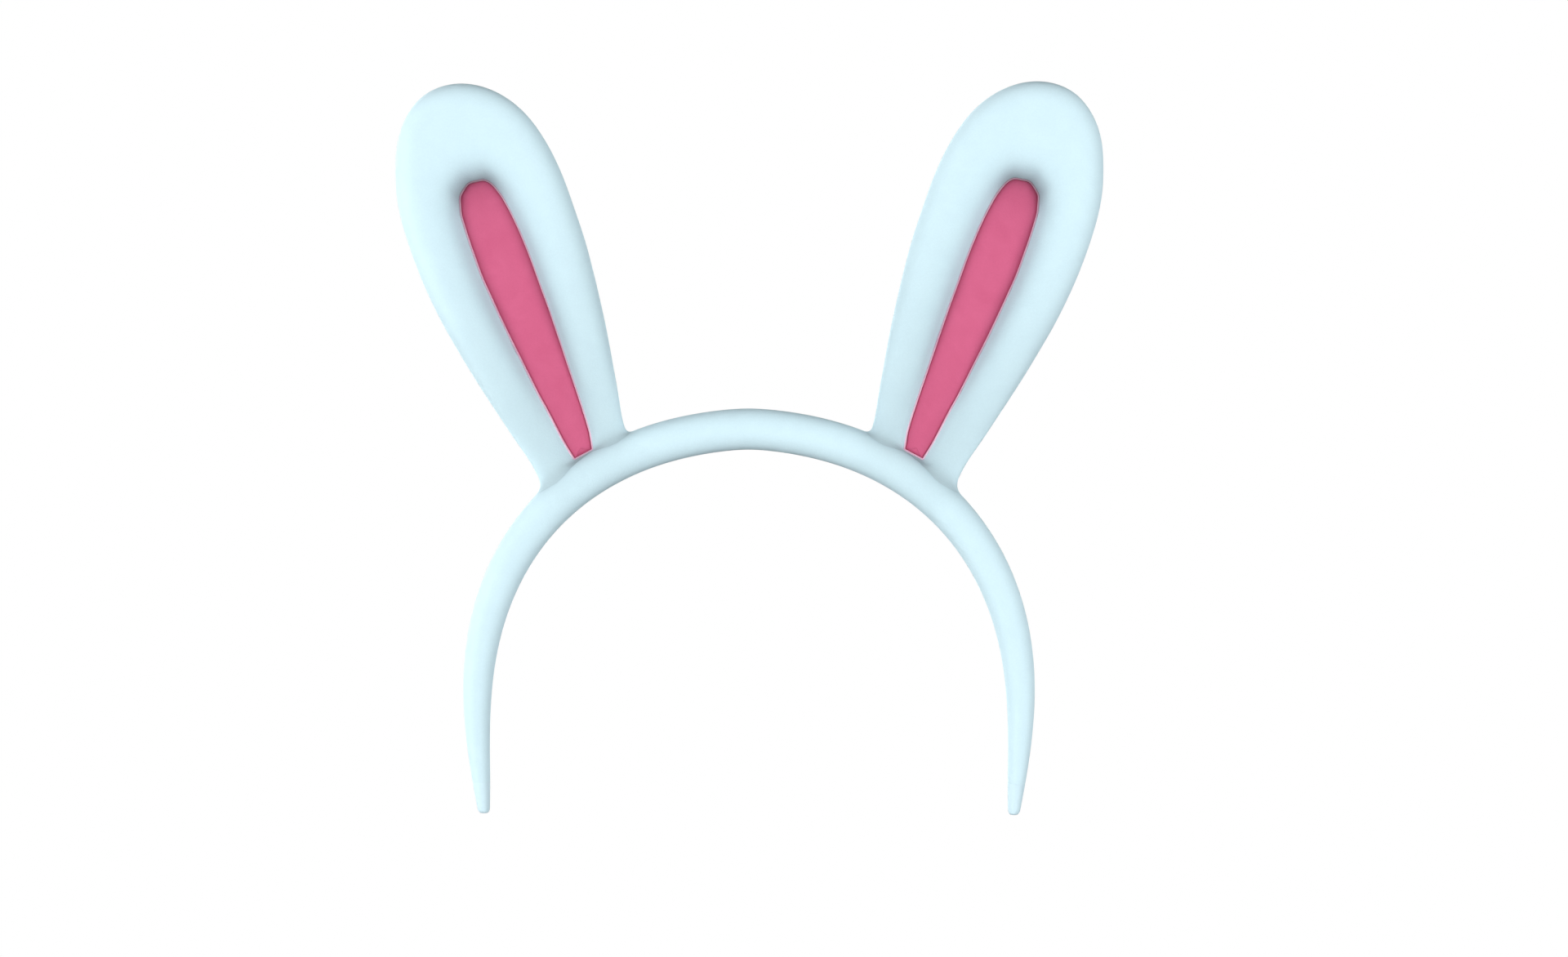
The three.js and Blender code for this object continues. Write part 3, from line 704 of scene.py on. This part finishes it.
back_end = [back_middle(f) for f in (0.15, 0.3, 0.45, 0.6, 0.75, 0.9, 0.97)]
body_rows = np.concatenate([section("front", 0, 0.2)[::-1], section("back", 0, 0.2), np.array(back_end)])
body = grid_mesh("ear_body", body_rows)


def tube_mesh(grow, s0, s1, n=200, m=96):
    return grid_mesh("tube", oval(np.linspace(s0, s1, n), -grow, np.linspace(0, 2 * math.pi, m, endpoint=False)))


def tube_normal(p, s):
    c, t, n, a, b = band.at(s)
    r = ((p[:, [0, 2]] - c) * n).sum(1)
    g = np.stack([n[:, 0] * r / a ** 2, p[:, 1] / b ** 2, n[:, 1] * r / a ** 2], -1)
    return g / np.maximum(np.linalg.norm(g, axis=1)[:, None], 1e-9)


def reach_of_fillet(p, s):
    """How far the soft joint of ear and band spreads: tight on the inner side, wider on the outer, broad across the front."""
    edge = 1.9 + 1.5 * smoothstep(38, 48, s)
    low = np.array([[40.9, -0.4], [42.5, -1.2], [44.3, -2.0]])
    off = np.linalg.norm(p[:, None, [0, 2]] - low[None], axis=2).min(1)
    near_panel = (1 - smoothstep(0.5, 6.5, off)) * (p[:, 1] < 1.0)
    front = 2.0 + 0.4 * smoothstep(42, 52, s) - 0.8 * near_panel
    k = smoothstep(1.0, 3.2, np.abs(p[:, 1]))
    k = np.maximum(k, near_panel)
    return edge * (1 - k) + front * k


def collapse_short(bm, length, among=None):
    """Merge the ends of edges under a length wherever the surface stays closed. The mesh is triangles."""
    for _ in range(8):
        touched, target = set(), {}
        short = [e for e in bm.edges if e.calc_length() < length and (among is None or (e.verts[0].index in among and e.verts[1].index in among))]
        short.sort(key=lambda e: e.calc_length())
        for e in short:
            a, b = e.verts
            if a in touched or b in touched:
                continue
            na = {x.other_vert(a) for x in a.link_edges}
            nb = {x.other_vert(b) for x in b.link_edges}
            if len(na & nb) != 2:
                continue
            ring = na | nb
            if ring & touched:
                continue
            target[a] = b
            touched |= ring
        if not target:
            break
        bmesh.ops.weld_verts(bm, targetmap=target)


def run_into_band(ear):
    """The ear's body joined to the band with a soft fillet."""
    tree = BVHTree.FromPolygons([x.co[:] for x in ear.vertices], [f.vertices[:] for f in ear.polygons])
    both = combine(ear.copy(), tube_mesh(0, 14, 70, 260, 128), "UNION")
    bm = bmesh.new(); bm.from_mesh(both)

    def ear_field(p):
        d, g = np.empty(len(p)), np.empty((len(p), 3))
        for i, q in enumerate(p):
            loc, nor, _, dist = tree.find_nearest(Vector(q * MM))
            w = Vector(q * MM) - loc
            d[i] = dist / MM * (1 if w.dot(nor) >= 0 else -1)
            g[i] = (w.normalized() * (1 if d[i] >= 0 else -1)) if dist > 2e-5 else nor
        return d, g

    def zone_of():
        co = np.array([x.co[:] for x in bm.verts]) / MM
        pick = (co[:, 2] < 26) & (co[:, 0] > 18) & (co[:, 0] < 74)
        where = np.where(pick)[0]
        dt, s = band.distance(co[where])
        where = where[dt < 6.5]
        de, _ = ear_field(co[where])
        return co, where[de < 6.5]

    co, zone = zone_of()
    bm.verts.ensure_lookup_table()
    bmesh.ops.triangulate(bm, faces=bm.faces)
    collapse_short(bm, 0.09 * MM, set(zone.tolist()))
    bm.verts.index_update()
    co, zone = zone_of()
    bm.verts.ensure_lookup_table()
    inside = set(zone.tolist())
    long = [e for e in bm.edges if e.verts[0].index in inside and e.verts[1].index in inside and e.calc_length() > 0.55 * MM]
    bmesh.ops.subdivide_edges(bm, edges=long, cuts=1)
    bmesh.ops.triangulate(bm, faces=bm.faces)
    bm.verts.index_update()
    co, zone = zone_of()
    ends = np.array([(e.verts[0].index, e.verts[1].index) for e in bm.edges])
    slot_of = np.full(len(co), -1); slot_of[zone] = np.arange(len(zone))
    ends = ends[(slot_of[ends[:, 0]] >= 0) | (slot_of[ends[:, 1]] >= 0)]

    def field(p):
        b, s = band.distance(p)
        gb = tube_normal(p, s)
        a, ga = ear_field(p)
        k = reach_of_fillet(p, s)
        h = np.clip((k - np.abs(a - b)) / k, 0, 1)
        F = np.minimum(a, b) - h * h * k / 4
        w = np.where(a < b, h / 2, 1 - h / 2)[:, None]
        g = ga * (1 - w) + gb * w
        return F, g, h

    for step in range(9):
        F, g, h = field(co[zone])
        g2 = np.maximum((g * g).sum(1), 0.15)
        move = np.clip(-F / g2, -0.4, 0.9)
        live = h > 0
        co[zone[live]] += (g * move[:, None])[live]
        if step < 6:
            total, count = np.zeros_like(co), np.zeros(len(co))
            for a, b in ((0, 1), (1, 0)):
                np.add.at(total, ends[:, a], co[ends[:, b]]); np.add.at(count, ends[:, a], 1)
            soft_h = smoothstep(0.0, 0.5, h) * 0.5
            mean = total[zone] / np.maximum(count[zone], 1)[:, None]
            co[zone] += (mean - co[zone]) * soft_h[:, None]
    bm.verts.ensure_lookup_table()
    for i in zone:
        bm.verts[i].co = Vector(co[i] * MM)
    for f in bm.faces:
        f.normal_update()
    me = bpy.data.meshes.new("joined"); bm.to_mesh(me); bm.free()
    return me


def slab(y0, y1):
    """A block from depth y0 to y1 that is larger than the ear."""
    corners = [(x, y, z) for x in (0, 120) for y in (y0, y1) for z in (-40, 120)]
    me = bpy.data.meshes.new("slab")
    me.from_pydata([tuple(c * MM for c in p) for p in corners], [], [(0, 1, 3, 2), (4, 6, 7, 5), (0, 4, 5, 1), (2, 3, 7, 6), (0, 2, 6, 4), (1, 5, 7, 3)])
    return me


tube_gap = tube_mesh(0.03, 9, 76, 260, 128)
joined = run_into_band(body)
solid = cut(joined, tube_gap.copy())


def edge_ring(inset_mm, h):
    """Ring of the panel's edge moved in by inset_mm, h over the mid plane."""
    pt = np.roll(P, -1, 0) - np.roll(P, 1, 0)
    pt = pt / np.maximum(np.linalg.norm(pt, axis=1)[:, None], 1e-9)
    inn = blur(np.stack([-pt[:, 1], pt[:, 0]], -1), 1.2)
    inn /= np.linalg.norm(inn, axis=1)[:, None]
    return lift(P + inn * inset_mm, -h)


inner_front, inner_back = section("front", COVER_T), section("back", COVER_T)
room = np.concatenate([edge_ring(-0.27, HP + 3.2)[None], edge_ring(-0.27, HP - 0.5)[None], inner_front[::-1][1:], inner_back,
                       np.array([back_middle(f, COVER_T) for f in (0.15, 0.3, 0.45, 0.6, 0.75, 0.92)])])
shell = cut(solid, grid_mesh("room", room))
front = tidy(cut(shell.copy(), slab(-0.01, 30)))
back = tidy(cut(shell.copy(), slab(-30, 0.01)))

# Pink panel: softly bowed, with a fine light edging on its rim.
half = np.linalg.norm(M - P, axis=1)
dome = 0.6 * np.clip(half / 3.4, 0.35, 1)
bead = [(-0.42 + 0.31 * (1 - math.cos(w)), HP - 0.02 + 0.60 * math.sin(w)) for w in np.linspace(0, math.pi, 9)]
rows = [edge_ring(-0.42, HP - 0.95)] + [edge_ring(i, h) for i, h in bead]
Q = edge_ring(0.20, HP)[:, [0, 2]]
MQ = spine(Q)
for f in (0.0, 0.06, 0.14, 0.24, 0.36, 0.5, 0.65, 0.8, 0.93):
    rows.append(lift(Q + (MQ - Q) * f, -(HP - 0.22 + (dome + 0.22) * (1 - (1 - f) ** 2.6))))
panel_me = tidy(grid_mesh("panel", np.array(rows)), 60)

# Wire just inside the ear's edge.
T = np.array([0.8463, -0.5328]); NN = np.array([0.5328, 0.8463]); C0 = np.array([39.808, -6.108])
fp = lambda t, r: C0 + T * t + NN * r
inn_loop = S + square * 2.2
keep = v > 0.12
idx = np.where(keep)[0]
brk = np.where(np.diff(idx) > 1)[0]
idx = np.r_[idx[brk[0] + 1:], idx[:brk[0] + 1]] if len(brk) else idx
path = [fp(0.3, 0), fp(3, 0), fp(6.4, 0.05), fp(7.7, 0.9), fp(8.1, 2.6), fp(8.3, 5.6)] + [inn_loop[i] for i in idx[::12]] + [
    fp(-8.3, 5.6), fp(-8.1, 2.6), fp(-7.7, 0.9), fp(-6.4, 0.05), fp(-3, 0), fp(-0.3, 0)]
path = np.array(path)
tt = np.r_[0, np.cumsum(np.linalg.norm(np.diff(path, axis=0), axis=1) ** 0.5)]
fine = natural_spline(tt, path, np.linspace(0, tt[-1], 1600))
cs = np.r_[0, np.cumsum(np.linalg.norm(np.diff(fine, axis=0), axis=1))]
q = np.linspace(0, cs[-1], 300)
wire_c = np.c_[np.interp(q, cs, fine[:, 0]), np.interp(q, cs, fine[:, 1])]
wt = np.gradient(wire_c, axis=0); wt /= np.linalg.norm(wt, axis=1)[:, None]
wn = np.stack([-wt[:, 1], wt[:, 0]], -1)
ww = np.linspace(0, 2 * math.pi, 12, endpoint=False)
wire_rings = np.stack([wire_c[:, 0:1] + wn[:, 0:1] * 0.7 * np.cos(ww), np.broadcast_to(0.7 * np.sin(ww), (300, 12)), wire_c[:, 1:2] + wn[:, 1:2] * 0.7 * np.cos(ww)], -1)
wire_me = tidy(grid_mesh("wire", wire_rings), 60)

# Ear foam: one pillow, parted at the bend line.
pf = section("front", COVER_T + 0.35)
pb = section("back", COVER_T + 0.35)
pf, pb = pf[5::2], pb[5::2]
half = np.minimum(1.05, 0.85 * (crest("front") - COVER_T - 0.35))
groove = [lift(rim_xy(np.full(N, d)), y * half) for d, y in ((1.5, -1), (3.4, -1), (3.4, 1), (1.5, 1))]
pf[-1] = edge_ring(-0.35, HP - 1.6)
pillow = grid_mesh("pillow", np.concatenate([pf[::-1], np.array(groove), pb])[:, ::2])
pillow = cut(pillow, tube_mesh(2.2, 9, 76))


def half_box(sign):
    """A block that holds everything above (1) or below (-1) the bend line, with a hair's gap."""
    bm = bmesh.new()
    bmesh.ops.create_cube(bm, size=1.0)
    a, u3 = Vector((UP[1], 0, -UP[0])), Vector((UP[0], 0, UP[1]))
    y = Vector((0, 1, 0))
    for vert in bm.verts:
        x_, y_, z_ = vert.co
        z0 = (z_ + 0.5) * 120 * sign + PAD_SPLIT * -sign
        vert.co = (Vector((BEND_AT[0], 0, BEND_AT[1])) + a * x_ * 120 + y * y_ * 40 + u3 * z0) * MM
    if bm.calc_volume(signed=True) < 0:
        bmesh.ops.reverse_faces(bm, faces=bm.faces)
    me = bpy.data.meshes.new("half"); bm.to_mesh(me); bm.free()
    return me


def to_panel(p):
    """Distance from the panel's outline across the front."""
    out, line = np.empty(len(p)), P_dense[::5]
    for i in range(0, len(p), 4000):
        out[i:i + 4000] = np.sqrt(((p[i:i + 4000, None] - line[None]) ** 2).sum(-1).min(1))
    return out


# Stores the painted shade: how much each vertex's colour is darkened where shade falls.
def paint_shade(me, amount):
    a = me.attributes.new("painted_shade", "FLOAT", "POINT")
    a.data.foreach_set("value", np.asarray(amount, np.float32))


ear_tree = BVHTree.FromPolygons([x.co[:] for x in body.vertices], [f.vertices[:] for f in body.polygons])


def crease_shade(p, from_band):
    """Shading on both sides of the line where the ear meets the band, on the front."""
    from_ear = np.full(len(p), 20.0)
    for i in np.where((from_band < 7) & (p[:, 0] > 18) & (p[:, 0] < 72) & (p[:, 2] > -42) & (p[:, 1] < 0))[0]:
        from_ear[i] = ear_tree.find_nearest(Vector(p[i] * MM))[3] / MM
    away = np.maximum(from_band, 0) * 1.5 + from_ear
    return 0.25 * np.exp(-(away / 2.9) ** 1.4) * smoothstep(0.2, 2.2, -p[:, 1])


def shade_cover(me):
    # Painted shade on the covers: darker on the trough wall and the ledge round the panel, under the panel's lower end,
    # on the lower ear and along the crease with the band; only on the front side, up to the recess.
    co = np.array([x.co[:] for x in me.vertices]) / MM
    xz = co[:, [0, 2]]
    g, d = share(xz), to_panel(xz)
    top = smoothstep(0.66, 0.76, g)
    low = 1 - smoothstep(0.0, 0.06, g)
    off, s = band.distance(co)
    facing = smoothstep(0.2, 2.2, -co[:, 1])
    wall = 0.46 * np.exp(-(d / 3.0) ** 1.4) * top + 0.14 * np.exp(-(d / 3.0) ** 1.3) * (1 - top)
    ledge = 0.15 * np.exp(-(d / 0.8) ** 2) * top
    under = 0.18 * np.exp(-(np.linalg.norm(xz - [43.6, -1.9], axis=1) / 3.0) ** 2)
    foot = 0.14 * (1 - smoothstep(0.0, 0.75, g))
    recess = 1 - smoothstep(1.6, 2.6, co[:, 1])
    paint_shade(me, recess * np.clip(1 - (1 - wall) * (1 - ledge) * (1 - under) * (1 - foot * facing) * (1 - crease_shade(co, off)), 0, 0.75))


def shade_panel(me):
    # Painted shade on the panel: darker near its rim and towards its top, where the wall above shades it; darkest on
    # the edging at the top.
    co = np.array([x.co[:] for x in me.vertices]) / MM
    xz = co[:, [0, 2]]
    line = P_dense[::5]
    along = np.roll(line, -1, 0) - np.roll(line, 1, 0)
    nearest = np.array([((line - f) ** 2).sum(1).argmin() for f in xz])
    d = ((xz - line[nearest]) * np.stack([-along[nearest, 1], along[nearest, 0]], -1)).sum(1) / np.linalg.norm(along[nearest], axis=1)
    down = (APEX - FOOT) @ UP * (vp.max() - share(xz))
    paint_shade(me, np.clip(0.15 * np.exp(-(np.maximum(d, 0) / 1.6) ** 1.3) * (d > 0.18) + np.where(d > 0.18, 0.33, 0.62) * np.exp(-down / 6.0), 0, 0.75))


shade_cover(front)
shade_cover(back)
shade_panel(panel_me)
# painted shade on the sleeve along the crease where the ear meets it
sleeve_co = np.array([x.co[:] for x in sleeve.vertices]) / MM
paint_shade(sleeve, crease_shade(sleeve_co, np.zeros(len(sleeve_co))))

pad_low = tidy(cut(pillow.copy(), half_box(1)))
pad_up = tidy(cut(pillow.copy(), half_box(-1)))

add_piece("band_sleeve", sleeve, velour_ice, ["SIDE_band_sleeve"], ARM)
add_piece("ear_front_cover", front, velour_ice, ["SIDE_ear_front_cover"], BEND)
add_piece("ear_back_cover", back, velour_ice, ["SIDE_ear_back_cover"], BEND)
panels = add_piece("ear_inner_panel", panel_me, velour_pink, ["SIDE_ear_inner_panel"], BEND, extra=(edge_pink,))
add_piece("ear_wire", wire_me, wire_mat, ["SIDE_ear_wire"], BEND)
add_piece("ear_padding_lower", pad_low, foam_mat, ["SIDE_ear_padding_lower"], BEND)
add_piece("ear_padding_upper", pad_up, foam_mat, ["SIDE_ear_padding_upper"], BEND)
add_piece("arm_padding", tidy(armpad), foam_mat, ["SIDE_arm_padding"], ARM)
add_piece("crown_padding_half", tidy(crown_half), foam_mat, ["crown_padding"], ARM)
add_piece("band_core_half", tidy(core_half, 30), strip_mat, ["band_core"], ARM)

# The edging's faces take the lighter thread.
for o in panels:
    co = np.array([p.center[:] for p in o.data.polygons]) / MM
    flatp = co[:, [0, 2]] * [1 if o.name.startswith("right") else -1, 1]
    line = P_dense[::5]
    along = np.roll(line, -1, 0) - np.roll(line, 1, 0)
    nearest = np.array([((line - f) ** 2).sum(1).argmin() for f in flatp])
    away = flatp - line[nearest]
    inset = (away * np.stack([-along[nearest, 1], along[nearest, 0]], -1)).sum(1) / np.linalg.norm(along[nearest], axis=1)
    for poly, d in zip(o.data.polygons, inset):
        poly.material_index = 1 if d < 0.17 else 0

for side in ("left", "right"):
    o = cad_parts[f"{side}_wire_clip"]
    o = o if hasattr(o, "data") else bpy.data.objects[f"{side}_wire_clip"]
    for sl in o.material_slots:
        sl.material = strip_mat

# ---------------------------------------------------------------- stage, light, camera

stage_mat = Mat("studio_white", (1, 1, 1, 1), rough=1.0, specular=0.0)
em = stage_mat.node("ShaderNodeEmission")
em.inputs["Strength"].default_value = 1.0
stage_mat.link(em.outputs[0], stage_mat.out.inputs["Surface"])


def stage_sheet(name, verts, faces):
    me = bpy.data.meshes.new(name)
    me.from_pydata(verts, [], faces)
    o = new_object(name, me)
    me.materials.append(stage_mat.m)
    o.visible_diffuse = o.visible_glossy = o.visible_shadow = o.visible_transmission = False
    return o


z0 = -0.150
prof = [(0.05, z0), (2.6, z0)] + [(2.6 + 0.9 * math.sin(w), z0 + 0.9 * (1 - math.cos(w))) for w in np.linspace(0.1, math.pi / 2, 12)] + [(3.5, 4.0)]
turn = np.linspace(0, 2 * math.pi, 72, endpoint=False)
verts = [(r * math.cos(w), r * math.sin(w), z) for r, z in prof for w in turn] + [(0, 0, z0)]
faces = [(72 * i + k, 72 * i + (k + 1) % 72, 72 * i + 72 + (k + 1) % 72, 72 * i + 72 + k) for i in range(len(prof) - 1) for k in range(72)]
faces += [(len(verts) - 1, (k + 1) % 72, k) for k in range(72)]
stage_sheet("studio_floor", verts, faces)

world = bpy.data.worlds.new("studio")
world.use_nodes = True
bpy.context.scene.world = world
nt = world.node_tree
bg = nt.nodes["Background"]
bg.inputs["Color"].default_value = (1, 1, 1, 1)
bg.inputs["Strength"].default_value = 0.02

scene = bpy.context.scene
scene.view_settings.view_transform = "Standard"
scene.view_settings.look = "None"


def area(name, loc, target, size, power, colour=(1, 1, 1)):
    d = bpy.data.lights.new(name, "AREA")
    d.shape, d.size, d.energy, d.color = "DISK", size, power, colour
    o = bpy.data.objects.new(name, d)
    o.location = loc
    o.rotation_euler = (Vector(target) - Vector(loc)).to_track_quat("-Z", "Y").to_euler()
    scene.collection.objects.link(o)
    return o


for azimuth, elevation, power in ((-20, 25, 5.6), (40, -5, 15.8), (-40, -5, 12.0), (-95, 0, 15.5),
                                   (95, 0, 4.5), (0, -75, 1.5), (0, 90, 2.5), (-150, 20, 11.0), (160, 5, 6.0)):
    e, z = math.radians(elevation), math.radians(azimuth)
    spot = Vector((math.cos(e) * math.sin(z), -math.cos(e) * math.cos(z), math.sin(e))) * 1.5
    area(f"softbox_{azimuth}_{elevation}", spot, (0, 0, 0), 0.9, power)

cam_d = bpy.data.cameras.new("camera")
cam = bpy.data.objects.new("camera", cam_d)
scene.collection.objects.link(cam)
cam_d.sensor_width = 36
cam_d.lens = 80
D = 0.21 * 1920 * MM * 80 / 36
az = math.radians(2.0)
centre = Vector((0.0092, 0, -0.0074))
cam.location = centre + Vector((math.sin(az) * D, -math.cos(az) * D, 0))
cam.rotation_euler = (centre - cam.location).to_track_quat("-Z", "Y").to_euler()
cam_d.clip_start, cam_d.clip_end = 0.01, 20
scene.camera = cam
